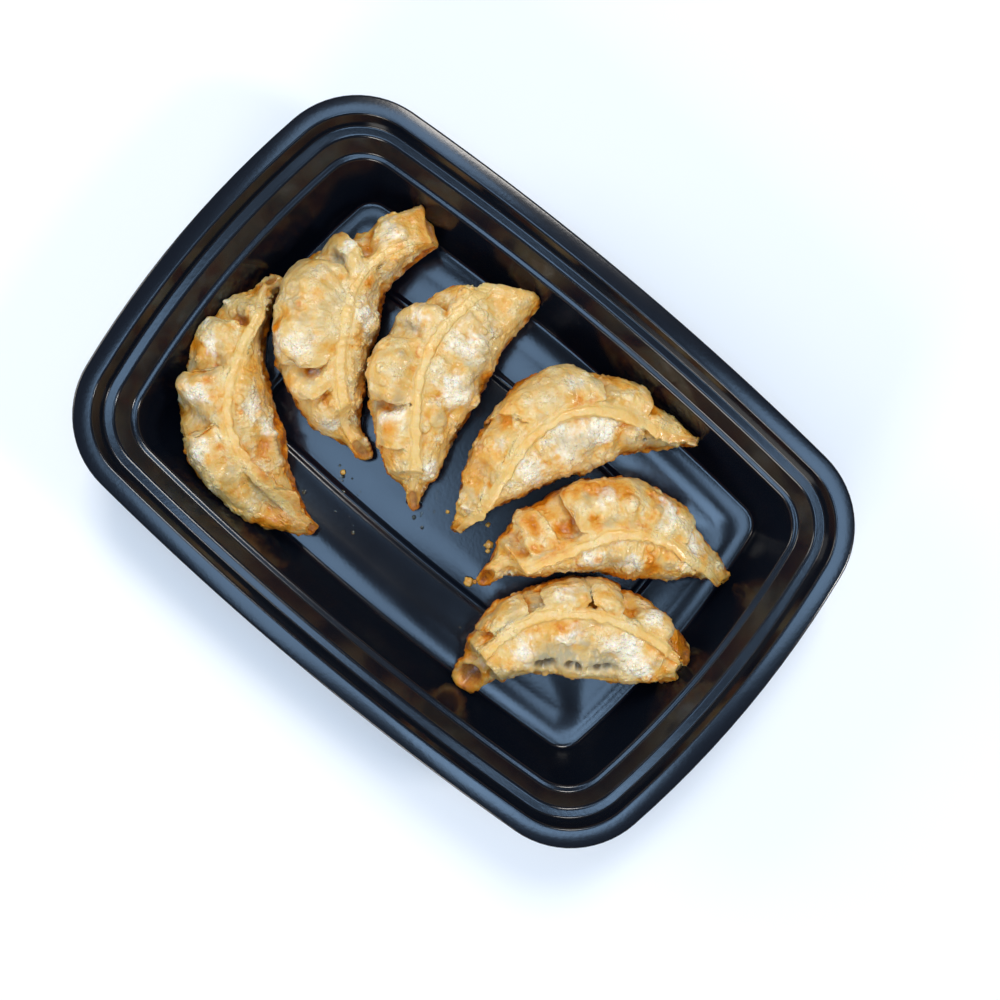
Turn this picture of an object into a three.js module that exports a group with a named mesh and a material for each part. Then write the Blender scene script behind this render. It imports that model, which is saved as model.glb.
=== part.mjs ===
// Six fried gyoza in a black takeaway tray. Millimetres, +Z up.
// The origin is under the middle of the tray, on the surface it stands on;
// +X runs along the tray's length.

import * as THREE from 'three';

// ---- Driving dimensions -------------------------------------------------

const RIM_LENGTH = 224;
const RIM_WIDTH = 154;
const TRAY_HEIGHT = 40;
const WALL = 0.9;
const RIM_CORNER = 29.5; // radius of the rim's corners
const LONG_SIDE_BOW = 980; // the long sides are very flat arcs of this radius
const SHORT_SIDE_BOW = 315;

const LIP_DROP = 3; // the rim's edge turns down by this much
const FLANGE = 6; // flat top of the rim
const EDGE_ROUND = 0.7; // small bevel on the tray's edges
const LID_LEDGE = { depth: 6, inset: 7.4, width: 3.1 };
const STACK_LEDGE = { depth: 12.5, inset: 13.7, width: 1.7 };
const WALL_FOOT = { inset: 19.9, rise: 5 }; // where the wall meets the floor's fillet
const FLOOR_INSET = 22.4;
const FOOT_RING = { halfLength: 69.6, halfWidth: 32.4, corner: 10, channel: 2.9, depth: 1.1 };

const CORNER_STEPS = 5;
const LONG_STEPS = 6;
const SHORT_STEPS = 4;

const GAP = 0.35; // between the food, its neighbours and the tray
const STATIONS = 30; // sections along a dumpling
const FLANK_STEPS = 4;
const BELLY_STEPS = 3;
const SEAM = { height: 3.4, thickness: 2.2 }; // the pressed edge along the top
const BASE_SHARE = 0.6; // flat base width, as a share of the belly's
const FLANK_POWER = 0.85; // under 1 makes the flanks fuller than an ellipse

// Each dumpling: place of its middle on the tray, heading of its length from
// head to tail, and its own sizes. bow is how far it bends towards the pleated
// side, sway its S-bend. seam gives the seam's shift towards the pleated side
// at the head, middle and tail. lift and top are the heights of each end's
// underside and seam above the tray's floor. pleats says how far along the
// length each tuck folds over. belly gives the height of the fullest line.
const GYOZA = {
  gyoza_1: {
    place: [-57.8, -18.2], heading: -42.6, length: 84, bow: 21, sway: -1.8, height: 29,
    pleated: { width: 15, fullest: 0.47, taper: 0.6, belly: 17 },
    smooth: { width: 15.5, fullest: 0.62, taper: 1.35, belly: 11 },
    seam: [-0.5, -4, -2],
    head: { width: 2.4, lift: 9, top: 20 },
    tail: { width: 2.6, lift: 8, top: 20 },
    pleats: [0.16, 0.36, 0.52, 0.7, 0.86],
  },
  gyoza_2: {
    place: [-44, 18.8], heading: -66, length: 79, bow: 27.5, sway: 1.1, height: 29,
    pleated: { width: 13.6, fullest: 0.57, taper: 0.84, belly: 10 },
    smooth: { width: 19.5, fullest: 0.49, taper: 1.2, belly: 11 },
    seam: [-3, -12, 0],
    head: { width: 5, lift: 9, top: 22 },
    tail: { width: 3, lift: 6, top: 14 },
    pleats: [0.24, 0.5, 0.64, 0.82],
  },
  gyoza_3: {
    place: [-16, 17.6], heading: -75, length: 79, bow: 11, sway: 1, height: 30,
    pleated: { width: 20, fullest: 0.45, taper: 1.05, belly: 12 },
    smooth: { width: 15, fullest: 0.37, taper: 0.87, belly: 11 },
    seam: [4, 1, 0.5],
    head: { width: 6, lift: 9, top: 22 },
    tail: { width: 2.6, lift: 7, top: 16 },
    pleats: [0.14, 0.33, 0.5, 0.7, 0.84],
  },
  gyoza_4: {
    place: [30.8, 20.2], heading: -120.4, length: 84, bow: 20.5, sway: 1.2, height: 30,
    pleated: { width: 17, fullest: 0.5, taper: 1.2, belly: 14 },
    smooth: { width: 16, fullest: 0.48, taper: 0.96, belly: 11 },
    seam: [0, 0, -1.5],
    head: { width: 2.4, lift: 14, top: 26 },
    tail: { width: 2.8, lift: 4, top: 14 },
    pleats: [0.3, 0.47, 0.62, 0.78],
  },
  gyoza_5: {
    place: [58.1, 1.2], heading: -139.7, length: 83, bow: 22, sway: 1.8, height: 29,
    pleated: { width: 12.5, fullest: 0.6, taper: 0.85, belly: 12 },
    smooth: { width: 20.5, fullest: 0.4, taper: 1.25, belly: 10 },
    seam: [-1, -8.5, 0],
    head: { width: 2.8, lift: 7, top: 17 },
    tail: { width: 2.6, lift: 5, top: 14 },
    pleats: [0.26, 0.44, 0.6, 0.74],
  },
  gyoza_6: {
    place: [69.4, -30.8], heading: -136.6, length: 73, bow: 15.5, sway: -1.4, height: 31,
    pleated: { width: 19, fullest: 0.4, taper: 0.8, belly: 13 },
    smooth: { width: 12.5, fullest: 0.42, taper: 0.97, belly: 10 },
    seam: [0, 6.5, 0.5],
    head: { width: 2.4, lift: 14, top: 25 },
    tail: { width: 4.5, lift: 6, top: 18 },
    pleats: [0.2, 0.36, 0.52, 0.68, 0.84],
  },
};
const PLEAT_DEPTH = 3.4;

const PLASTIC = { color: 0x15181c, roughness: 0.28, metalness: 0 };
const WRAPPER = { color: 0xd9b377, roughness: 0.45, metalness: 0 };

// ---- Rounded, bowed rectangles --------------------------------------------

const rim = {
  halfX: RIM_LENGTH / 2,
  halfY: RIM_WIDTH / 2,
  corner: RIM_CORNER,
  bowX: SHORT_SIDE_BOW,
  bowY: LONG_SIDE_BOW,
};

function insetOutline(outline, inset) {
  return {
    halfX: outline.halfX - inset,
    halfY: outline.halfY - inset,
    corner: outline.corner - inset,
    bowX: outline.bowX - inset,
    bowY: outline.bowY - inset,
  };
}

// A quarter of the outline is three arcs that meet smoothly: half of a short
// side, a corner and half of a long side.
function quarterArcs({ halfX, halfY, corner, bowX, bowY }) {
  const shortCentre = new THREE.Vector2(halfX - bowX, 0);
  const longCentre = new THREE.Vector2(0, halfY - bowY);
  const toShort = bowX - corner;
  const toLong = bowY - corner;
  const between = shortCentre.clone().sub(longCentre);
  const distance = between.length();
  const along = (toLong ** 2 - toShort ** 2 + distance ** 2) / (2 * distance);
  const across = Math.sqrt(toLong ** 2 - along ** 2);
  const unit = between.divideScalar(distance);
  const side = new THREE.Vector2(-unit.y, unit.x);
  const foot = longCentre.clone().addScaledVector(unit, along);
  const cornerCentre = foot.addScaledVector(side, side.x > 0 ? across : -across);
  const fromShort = cornerCentre.clone().sub(shortCentre).angle();
  const fromLong = cornerCentre.clone().sub(longCentre).angle();
  return [
    { centre: shortCentre, radius: bowX, from: 0, to: fromShort, steps: SHORT_STEPS / 2 },
    { centre: cornerCentre, radius: corner, from: fromShort, to: fromLong, steps: CORNER_STEPS },
    { centre: longCentre, radius: bowY, from: fromLong, to: Math.PI / 2, steps: LONG_STEPS / 2 },
  ];
}

function outlinePoints(outline) {
  const quarter = [];
  for (const { centre, radius, from, to, steps } of quarterArcs(outline)) {
    for (let i = 0; i < steps; i += 1) {
      const angle = from + ((to - from) * i) / steps;
      quarter.push([centre.x + radius * Math.cos(angle), centre.y + radius * Math.sin(angle)]);
    }
  }
  const top = [0, outline.halfY];
  const left = quarter.slice(1).reverse().map(([x, y]) => [-x, y]);
  const half = [...quarter, top, ...left];
  return [...half, ...half.map(([x, y]) => [-x, -y])];
}

// How far a point lies inside the outline: negative is outside it.
function depthInside(outline, x, y) {
  const [short, corner, long] = quarterArcs(outline);
  const point = new THREE.Vector2(Math.abs(x), Math.abs(y));
  const reach = (arc) => arc.radius - point.distanceTo(arc.centre);
  const angle = point.clone().sub(corner.centre).angle();
  if (point.x > corner.centre.x && angle > corner.from && angle < corner.to) {
    return reach(corner);
  }
  return Math.min(reach(short), reach(long));
}

// ---- Closed bodies from rings of points --------------------------------------

// Joins rings of equal length into a skin and closes both ends with a fan.
function closedSkin(rings) {
  const count = rings[0].length;
  const positions = rings.flat(2);
  const index = [];
  for (let r = 0; r + 1 < rings.length; r += 1) {
    for (let i = 0; i < count; i += 1) {
      const a = r * count + i;
      const b = r * count + ((i + 1) % count);
      index.push(a, b, a + count, b, b + count, a + count);
    }
  }
  const centreOf = (ring) => [0, 1, 2].map((k) => ring.reduce((sum, p) => sum + p[k], 0) / count);
  const first = positions.length / 3;
  positions.push(...centreOf(rings[0]), ...centreOf(rings.at(-1)));
  const lastRing = (rings.length - 1) * count;
  for (let i = 0; i < count; i += 1) {
    const next = (i + 1) % count;
    index.push(first, next, i);
    index.push(first + 1, lastRing + i, lastRing + next);
  }
  const geometry = new THREE.BufferGeometry();
  geometry.setAttribute('position', new THREE.Float32BufferAttribute(positions, 3));
  geometry.setIndex(index);
  geometry.computeVertexNormals();
  return geometry;
}

// ---- Tray -----------------------------------------------------------------

const floorTop = FOOT_RING.depth + WALL;

// The inside of the tray from the turned-down lip to the floor's edge, as
// insets from the rim and heights above the table.
function innerProfile() {
  const lidZ = TRAY_HEIGHT - LID_LEDGE.depth;
  const stackZ = TRAY_HEIGHT - STACK_LEDGE.depth;
  return [
    [EDGE_ROUND, TRAY_HEIGHT],
    [FLANGE - EDGE_ROUND, TRAY_HEIGHT],
    [FLANGE, TRAY_HEIGHT - EDGE_ROUND],
    [LID_LEDGE.inset, lidZ],
    [LID_LEDGE.inset + LID_LEDGE.width - EDGE_ROUND, lidZ],
    [LID_LEDGE.inset + LID_LEDGE.width, lidZ - EDGE_ROUND],
    [STACK_LEDGE.inset, stackZ],
    [STACK_LEDGE.inset + STACK_LEDGE.width, stackZ - EDGE_ROUND / 2],
    [WALL_FOOT.inset, floorTop + WALL_FOOT.rise],
    [(WALL_FOOT.inset * 2 + FLOOR_INSET) / 3, floorTop + WALL_FOOT.rise / 4],
    [FLOOR_INSET, floorTop],
  ];
}

// The outside follows the inside a wall's thickness away.
function outerProfile() {
  const lidZ = TRAY_HEIGHT - LID_LEDGE.depth - WALL;
  const stackZ = TRAY_HEIGHT - STACK_LEDGE.depth - WALL;
  return [
    [0, TRAY_HEIGHT - EDGE_ROUND],
    [0, TRAY_HEIGHT - LIP_DROP],
    [WALL, TRAY_HEIGHT - LIP_DROP],
    [WALL, TRAY_HEIGHT - WALL],
    [FLANGE - WALL, TRAY_HEIGHT - WALL],
    [LID_LEDGE.inset - WALL, lidZ],
    [LID_LEDGE.inset + LID_LEDGE.width - WALL, lidZ],
    [STACK_LEDGE.inset - WALL, stackZ],
    [STACK_LEDGE.inset + STACK_LEDGE.width - WALL, stackZ],
    [WALL_FOOT.inset - WALL, floorTop + WALL_FOOT.rise],
    [(WALL_FOOT.inset * 2 + FLOOR_INSET) / 3 - WALL / 2, floorTop + WALL_FOOT.rise / 4 - WALL],
    [FLOOR_INSET, floorTop - WALL],
  ];
}

function footRingOutline(grow) {
  return {
    halfX: FOOT_RING.halfLength + grow,
    halfY: FOOT_RING.halfWidth + grow,
    corner: FOOT_RING.corner + grow,
    bowX: SHORT_SIDE_BOW * 4,
    bowY: LONG_SIDE_BOW,
  };
}

function trayGeometry() {
  const level = (outline, z) => outlinePoints(outline).map(([x, y]) => [x, y, z]);
  const wallRing = ([inset, z]) => level(insetOutline(rim, inset), z);
  const half = FOOT_RING.channel / 2;
  const slope = FOOT_RING.depth / 3;
  const channel = [
    level(footRingOutline(half), floorTop),
    level(footRingOutline(half - slope), WALL),
    level(footRingOutline(slope - half), WALL),
    level(footRingOutline(-half), floorTop),
  ];
  const foot = [
    level(footRingOutline(half + WALL / 2), floorTop - WALL),
    level(footRingOutline(half - slope + WALL / 2), 0),
    level(footRingOutline(slope - half - WALL / 2), 0),
    level(footRingOutline(-half - WALL / 2), floorTop - WALL),
  ];
  const inside = [...innerProfile().map(wallRing), ...channel];
  const outside = [...outerProfile().map(wallRing), ...foot];
  return closedSkin([...outside.reverse(), ...inside]);
}

// ---- Dumplings ----------------------------------------------------------------

const innerWall = innerProfile().slice(2);

// The tray wall's inset from the rim at a height.
function wallInset(z) {
  for (let i = 0; i + 1 < innerWall.length; i += 1) {
    const [insetA, zA] = innerWall[i];
    const [insetB, zB] = innerWall[i + 1];
    if (z <= zA && z >= zB && zA > zB) {
      return insetA + ((insetB - insetA) * (zA - z)) / (zA - zB);
    }
  }
  return z > TRAY_HEIGHT ? 0 : FLOOR_INSET;
}

// What leans on the tray's wall follows it: a point beyond it comes back in.
function keepInTray([x, y, z]) {
  const limit = wallInset(z) + GAP * 2;
  const depth = depthInside(rim, x, y);
  const excess = limit - depth;
  if (excess <= 0) {
    return [x, y, z];
  }
  const step = 0.01;
  const slopeX = (depthInside(rim, x + step, y) - depth) / step;
  const slopeY = (depthInside(rim, x, y + step) - depth) / step;
  return [x + slopeX * excess, y + slopeY * excess, z];
}

const mix = (a, b, t) => a + (b - a) * t;

// 0 at both ends and 1 at the fullest place.
function swell(t, fullest, taper) {
  const skew = Math.log(0.5) / Math.log(fullest);
  return Math.sin(Math.PI * t ** skew) ** taper;
}

// Each tuck rises slowly and folds over sharply just past its place.
function tuck(t, pleats) {
  const places = [0, ...pleats, 1];
  const next = places.findIndex((place) => place > t);
  if (next < 1) {
    return 0;
  }
  const share = (t - places[next - 1]) / (places[next] - places[next - 1]);
  const fold = 0.18;
  return share < fold ? 1 - share / fold : (share - fold) / (1 - fold);
}

// One side of a section from the seam's top to the base's edge, as pairs of
// sideways place and height. side is 1 for the pleated side and -1 for the smooth one.
function sectionSide(side, t, dumpling, sizes) {
  const { width, belly } = sizes;
  const finEdge = sizes.seam + (side * SEAM.thickness) / 2;
  const shoulder = sizes.top - SEAM.height;
  const points = [
    [finEdge, sizes.top - SEAM.height * 0.2],
    [finEdge, shoulder],
  ];
  for (let i = 1; i <= FLANK_STEPS; i += 1) {
    const angle = (Math.PI / 2) * (1 - i / FLANK_STEPS);
    const out = Math.cos(angle) ** FLANK_POWER;
    const pleat = side > 0 ? tuck(t, dumpling.pleats) - 0.5 : 0;
    const ease = Math.sin(Math.PI * Math.min(1, (i / FLANK_STEPS) * 0.8)) * sizes.swell;
    const push = pleat * PLEAT_DEPTH * ease;
    points.push([
      mix(finEdge, side * width, out) + side * push * Math.cos(angle),
      mix(belly, shoulder, Math.sin(angle) ** FLANK_POWER) + push * Math.sin(angle),
    ]);
  }
  for (let i = 1; i <= BELLY_STEPS; i += 1) {
    const angle = (Math.PI / 2) * (i / BELLY_STEPS);
    points.push([
      side * width * mix(BASE_SHARE, 1, Math.cos(angle)),
      mix(belly, sizes.lift, Math.sin(angle)),
    ]);
  }
  return points;
}

// A section's points, all the way round, in the dumpling's own frame: its
// length runs along +x from head to tail and its pleated side faces -y.
function section(dumpling, t) {
  const { length, bow, sway, head, tail } = dumpling;
  const centreX = length * (t - 0.5);
  const centreV = bow * 4 * t * (1 - t) + sway * Math.sin(2 * Math.PI * t);
  const slopeV = bow * 4 * (1 - 2 * t) + sway * 2 * Math.PI * Math.cos(2 * Math.PI * t);
  const along = new THREE.Vector2(length, slopeV).normalize();

  const full = Math.sin(Math.PI * t) ** 0.7;
  const endWidth = mix(head.width, tail.width, t);
  const top = mix(mix(head.top, tail.top, t), dumpling.height, full);
  const lift = mix(head.lift, tail.lift, t) * (1 - full) ** 1.5;
  const [seamHead, seamMiddle, seamTail] = dumpling.seam;
  const seam = mix(seamHead, seamTail, t) + seamMiddle * Math.sin(Math.PI * t);
  const sideSizes = ({ width, fullest, taper, belly }) => {
    const share = swell(t, fullest, taper);
    return {
      width: mix(endWidth, width, share),
      belly: mix(mix(lift, top, 0.45), belly, full),
      swell: share,
      seam,
      top,
      lift,
    };
  };
  const pleated = sectionSide(1, t, dumpling, sideSizes(dumpling.pleated));
  const smooth = sectionSide(-1, t, dumpling, sideSizes(dumpling.smooth));
  const loop = [[seam, top], ...pleated, ...smooth.reverse()];
  return loop.map(([v, z]) => [
    centreX - along.y * v,
    -(centreV + along.x * v),
    z,
  ]);
}

function dumplingGeometry(dumpling) {
  const turn = THREE.MathUtils.degToRad(dumpling.heading);
  const [placeX, placeY] = dumpling.place;
  const seat = floorTop + GAP;
  const toTray = ([x, y, z]) => [
    placeX + x * Math.cos(turn) - y * Math.sin(turn),
    placeY + x * Math.sin(turn) + y * Math.cos(turn),
    seat + z,
  ];
  const toOwn = ([x, y, z]) => {
    const dx = x - placeX;
    const dy = y - placeY;
    return [
      dx * Math.cos(turn) + dy * Math.sin(turn),
      -dx * Math.sin(turn) + dy * Math.cos(turn),
      z - seat,
    ];
  };
  const rings = [];
  for (let i = 0; i <= STATIONS; i += 1) {
    // Stations crowd towards the ends, where the shape changes fastest.
    const t = (1 - Math.cos((Math.PI * i) / STATIONS)) / 2;
    const ring = section(dumpling, mix(i / STATIONS, t, 0.5));
    rings.push(ring.map((point) => toOwn(keepInTray(toTray(point)))));
  }
  return closedSkin(rings);
}

// ---- Assembly -------------------------------------------------------------------

const meal = new THREE.Group();

const tray = new THREE.Mesh(trayGeometry(), new THREE.MeshStandardMaterial(PLASTIC));
tray.name = 'tray';
meal.add(tray);

for (const [name, dumpling] of Object.entries(GYOZA)) {
  const gyoza = new THREE.Mesh(dumplingGeometry(dumpling), new THREE.MeshStandardMaterial(WRAPPER));
  gyoza.name = name;
  gyoza.position.set(...dumpling.place, floorTop + GAP);
  gyoza.rotation.z = THREE.MathUtils.degToRad(dumpling.heading);
  meal.add(gyoza);
}

export default meal;
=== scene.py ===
# Fried gyoza fanned out in a black takeaway tray. Sizes are in millimetres and
# are turned into metres, the frame's unit, where a mesh is written.

import math

import bmesh
import bpy
import numpy as np
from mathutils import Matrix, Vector, noise


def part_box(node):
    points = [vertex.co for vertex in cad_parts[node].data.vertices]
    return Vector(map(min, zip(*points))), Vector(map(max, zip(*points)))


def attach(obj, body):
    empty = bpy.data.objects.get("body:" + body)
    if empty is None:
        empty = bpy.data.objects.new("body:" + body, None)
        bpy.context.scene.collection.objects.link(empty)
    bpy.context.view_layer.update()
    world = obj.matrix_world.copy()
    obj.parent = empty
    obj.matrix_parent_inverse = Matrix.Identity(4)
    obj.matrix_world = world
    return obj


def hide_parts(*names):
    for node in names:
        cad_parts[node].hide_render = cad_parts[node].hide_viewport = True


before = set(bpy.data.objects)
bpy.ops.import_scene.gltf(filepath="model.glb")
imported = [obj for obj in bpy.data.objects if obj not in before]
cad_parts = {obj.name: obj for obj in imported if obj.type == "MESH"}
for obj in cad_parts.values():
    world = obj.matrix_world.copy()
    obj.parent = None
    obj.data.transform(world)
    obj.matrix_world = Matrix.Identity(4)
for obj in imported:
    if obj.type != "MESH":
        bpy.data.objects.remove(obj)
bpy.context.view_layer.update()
bpy.ops.object.select_all(action="DESELECT")

MM = 0.001


# ---- Tray: the moulded shell --------------------------------------------------
# A thin polypropylene tray, moulded in one shot: a flat flange with a turned
# down lip, a ledge that the lid snaps on, a narrow stacking ledge, drafted walls
# and a floor whose sunk channel makes the foot ring underneath.

_, TRAY_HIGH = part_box("tray")
RIM = dict(half_x=TRAY_HIGH.x / MM, half_y=TRAY_HIGH.y / MM, corner=29.5, bow_x=315.0, bow_y=980.0)
RIM_Z = TRAY_HIGH.z / MM
WALL = 0.9
FLOOR_Z = 2.0
CHANNEL_Z = WALL
ARC_STEPS = dict(short=6, corner=14, long=12)

# The inside from the lip to the floor: inset from the rim, height, radius of the bend.
TRAY_PROFILE = [
    (0.0, RIM_Z - 3.0, 0.0),
    (0.0, RIM_Z, 0.9),
    (6.0, RIM_Z, 0.7),
    (7.4, RIM_Z - 6.0, 0.6),
    (10.5, RIM_Z - 6.1, 0.8),
    (13.6, RIM_Z - 12.4, 0.6),
    (15.5, RIM_Z - 12.6, 0.9),
    (21.2, FLOOR_Z, 5.0),
    (24.5, FLOOR_Z, 0.0),
]
FLOOR_BOW = dict(bow_x=1260.0, bow_y=980.0)  # the radii that the floor's sides are bowed to
# The floor's own rings: half the length and width, the corner's radius and the height.
FLOOR_RINGS = [
    (81.9, 44.4, 9.0, FLOOR_Z),
    (81.4, 43.9, 9.0, FLOOR_Z - 0.25),
    (71.8, 34.6, 10.7, FLOOR_Z - 0.25),
    (71.3, 34.1, 10.6, FLOOR_Z - 0.34),
    (70.7, 33.5, 10.5, CHANNEL_Z + 0.42),
    (70.2, 33.0, 10.4, CHANNEL_Z + 0.12),
    (69.7, 32.5, 10.3, CHANNEL_Z),
    (69.5, 32.3, 10.1, CHANNEL_Z),
    (69.0, 31.8, 10.0, CHANNEL_Z + 0.12),
    (68.5, 31.3, 9.9, CHANNEL_Z + 0.42),
    (67.9, 30.7, 9.6, FLOOR_Z - 0.12),
    (67.3, 30.1, 9.4, FLOOR_Z),
    (50.0, 20.0, 8.0, FLOOR_Z),
    (20.0, 8.0, 4.0, FLOOR_Z),
]


def quarter_arcs(shape):
    """The short side's, the corner's and the long side's arc: centre, radius and angles."""
    short_c = np.array([shape["half_x"] - shape["bow_x"], 0.0])
    long_c = np.array([0.0, shape["half_y"] - shape["bow_y"]])
    to_short = shape["bow_x"] - shape["corner"]
    to_long = shape["bow_y"] - shape["corner"]
    between = short_c - long_c
    distance = np.linalg.norm(between)
    along = (to_long**2 - to_short**2 + distance**2) / (2 * distance)
    across = math.sqrt(to_long**2 - along**2)
    unit = between / distance
    side = np.array([-unit[1], unit[0]])
    if side[0] < 0:
        side = -side
    corner_c = long_c + unit * along + side * across
    from_short = math.atan2(*(corner_c - short_c)[::-1])
    from_long = math.atan2(*(corner_c - long_c)[::-1])
    return [
        (short_c, shape["bow_x"], 0.0, from_short, ARC_STEPS["short"]),
        (corner_c, shape["corner"], from_short, from_long, ARC_STEPS["corner"]),
        (long_c, shape["bow_y"], from_long, math.pi / 2, ARC_STEPS["long"]),
    ]


def outline_points(shape):
    """The bowed, rounded rectangle all the way round, counter-clockwise."""
    quarter = []
    for centre, radius, start, end, steps in quarter_arcs(shape):
        for i in range(steps):
            angle = start + (end - start) * i / steps
            quarter.append((centre[0] + radius * math.cos(angle), centre[1] + radius * math.sin(angle)))
    left = [(-x, y) for x, y in reversed(quarter[1:])]
    half = quarter + [(0.0, shape["half_y"])] + left
    return half + [(-x, -y) for x, y in half]


def inset_outline(inset):
    return outline_points({key: value - inset for key, value in RIM.items()})


def floor_outline(half_x, half_y, corner):
    return outline_points(dict(half_x=half_x, half_y=half_y, corner=corner, **FLOOR_BOW))


def rounded_bends(profile, steps=4):
    """The profile with each bend replaced by a short curve of its radius."""
    points = [profile[0][:2]]
    for before, bend, after in zip(profile, profile[1:], profile[2:]):
        here = np.array(bend[:2])
        back = np.array(before[:2]) - here
        ahead = np.array(after[:2]) - here
        back_len, ahead_len = np.linalg.norm(back), np.linalg.norm(ahead)
        reach = min(bend[2], 0.45 * back_len, 0.45 * ahead_len)
        start = here + back / back_len * reach
        end = here + ahead / ahead_len * reach
        for i in range(steps + 1):
            t = i / steps
            point = (1 - t) ** 2 * start + 2 * t * (1 - t) * here + t**2 * end
            points.append(tuple(point))
    points.append(profile[-1][:2])
    return points


rings = [(inset_outline(inset), z) for inset, z in rounded_bends(TRAY_PROFILE)]
rings += [(floor_outline(hx, hy, corner), z) for hx, hy, corner, z in FLOOR_RINGS]

bpy.ops.mesh.primitive_circle_add(vertices=len(rings[0][0]), radius=MM)
shell = bpy.context.object
shell.name = "tray_shell"
shell.data.name = "tray_shell"
for vertex, (x, y) in zip(shell.data.vertices, rings[0][0]):
    vertex.co = (x * MM, y * MM, rings[0][1] * MM)
bpy.ops.object.mode_set(mode="EDIT")
bpy.ops.mesh.select_all(action="SELECT")
edit = bmesh.from_edit_mesh(shell.data)
edit.verts.ensure_lookup_table()
current = list(edit.verts)
for outline, z in rings[1:]:
    place = {tuple(v.co): i for i, v in enumerate(current)}
    bpy.ops.mesh.extrude_region_move()
    edit = bmesh.from_edit_mesh(shell.data)
    fresh = [v for v in edit.verts if v.select]
    fresh.sort(key=lambda v: place[tuple(v.co)])
    for v, (x, y) in zip(fresh, outline):
        v.co = (x * MM, y * MM, z * MM)
    current = fresh
bpy.ops.mesh.edge_face_add()
bpy.ops.mesh.poke()
bpy.ops.mesh.select_all(action="SELECT")
bpy.ops.mesh.normals_make_consistent(inside=False)
bpy.ops.object.mode_set(mode="OBJECT")
middle = min(shell.data.polygons, key=lambda p: p.center.xy.length)
if middle.normal.z < 0:
    shell.data.flip_normals()
solidify = shell.modifiers.new("wall", "SOLIDIFY")
solidify.thickness = WALL * MM
solidify.offset = -1
solidify.use_even_offset = True
bpy.ops.object.modifier_apply(modifier="wall")
bpy.ops.object.shade_smooth_by_angle(angle=math.radians(50))


def new_material(name):
    """A material, its node tree and its shader."""
    material = bpy.data.materials.new(name)
    material.use_nodes = True
    return material, material.node_tree, material.node_tree.nodes["Principled BSDF"]


def set_sockets(node, values):
    for socket, value in values.items():
        node.inputs[socket].default_value = value


def add_node(kind, sockets=(), **settings):
    """A node in the material at hand, with its settings and its sockets' values."""
    node = tree.nodes.new("ShaderNode" + kind)
    for setting, value in settings.items():
        setattr(node, setting, value)
    set_sockets(node, dict(sockets))
    return node


def link(source, output, target, socket):
    tree.links.new(source.outputs[output], target.inputs[socket])


plastic, tree, shader = new_material("black_polypropylene")
set_sockets(shader, {"Base Color": (0.004, 0.006, 0.011, 1), "IOR": 1.49})
coords = add_node("TexCoord")
haze = add_node("TexNoise", {"Scale": 38, "Detail": 4})
gloss = add_node("MapRange", {"To Min": 0.12, "To Max": 0.22})
grain = add_node("TexNoise", {"Scale": 900, "Detail": 2})
bump = add_node("Bump", {"Strength": 0.08, "Distance": 0.0002})
link(coords, "Object", haze, "Vector")
link(haze, "Fac", gloss, "Value")
link(gloss, "Result", shader, "Roughness")
link(coords, "Object", grain, "Vector")
link(grain, "Fac", bump, "Height")
link(bump, "Normal", shader, "Normal")
shell.data.materials.append(plastic)
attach(shell, "root")
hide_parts("tray")


# ---- Gyoza: six folded and fried dumplings --------------------------------------
# Each is a round of dough folded over its filling and pressed shut along a seam
# that stands up as a band. The tucks beside it lie over one another, and frying
# has blistered the skin, browned its edges and left the ends curled open.

SEAT = FLOOR_Z + 0.35  # how high a dumpling's base lies


def folded_end(width, lift, top, ring, mouth, slant, skew=0.0):
    """An end: half its width, the heights of its underside and top, how far it is rolled into
    a tube, how deep it gapes, and how far its cut leans back and sideways."""
    return dict(width=width, lift=lift, top=top, ring=ring, mouth=mouth, slant=slant, skew=skew)


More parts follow.
